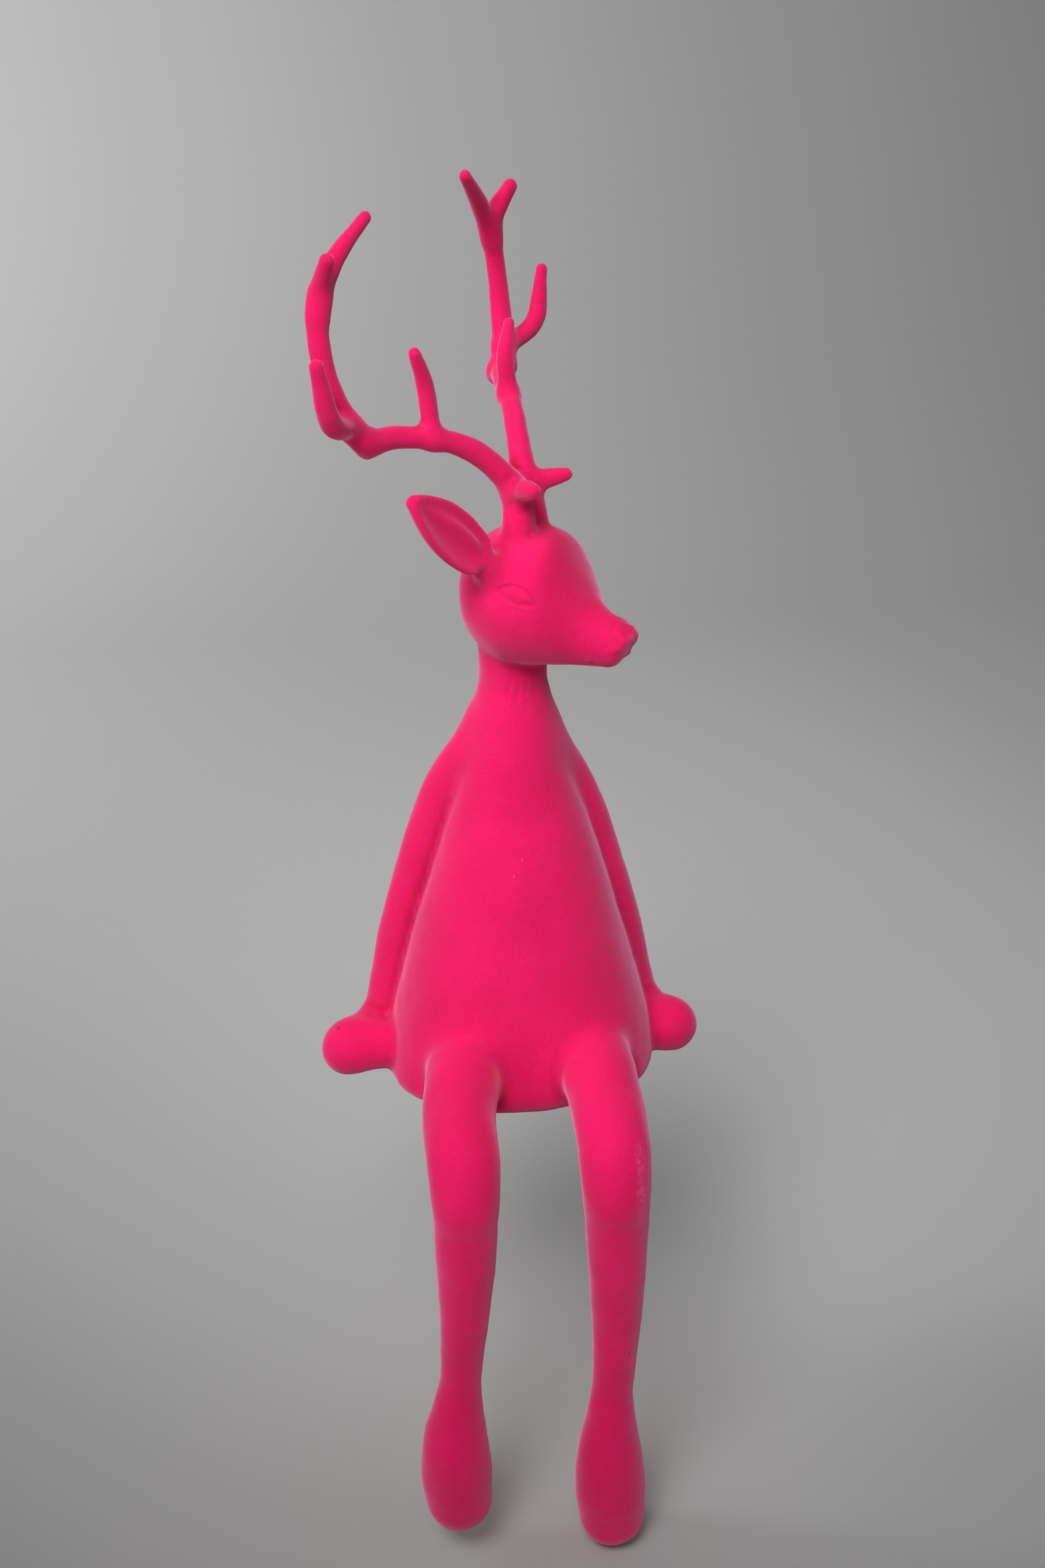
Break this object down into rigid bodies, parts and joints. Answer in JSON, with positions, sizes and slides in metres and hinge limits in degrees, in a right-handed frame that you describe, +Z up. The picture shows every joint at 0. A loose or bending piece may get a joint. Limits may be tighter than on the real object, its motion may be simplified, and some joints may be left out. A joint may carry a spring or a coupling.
{
  "type": "seated reindeer figure",
  "caption": "Stylised reindeer figure that sits on an edge with its legs hanging down, a pear-shaped body and branched antlers, pink flocked finish.",
  "frame": {"origin": "middle of the flat underside that the figure sits on", "axes": "+Z up towards the antlers, the body faces -Y, and the head is turned towards +X"},
  "size_m": [0.271, 0.3324, 0.9447],
  "materials": {
    "flock": "velvety pink flock over the whole figure"
  },
  "bodies": {
    "root": {"reindeer_figure": "flock"}
  },
  "joints": []
}
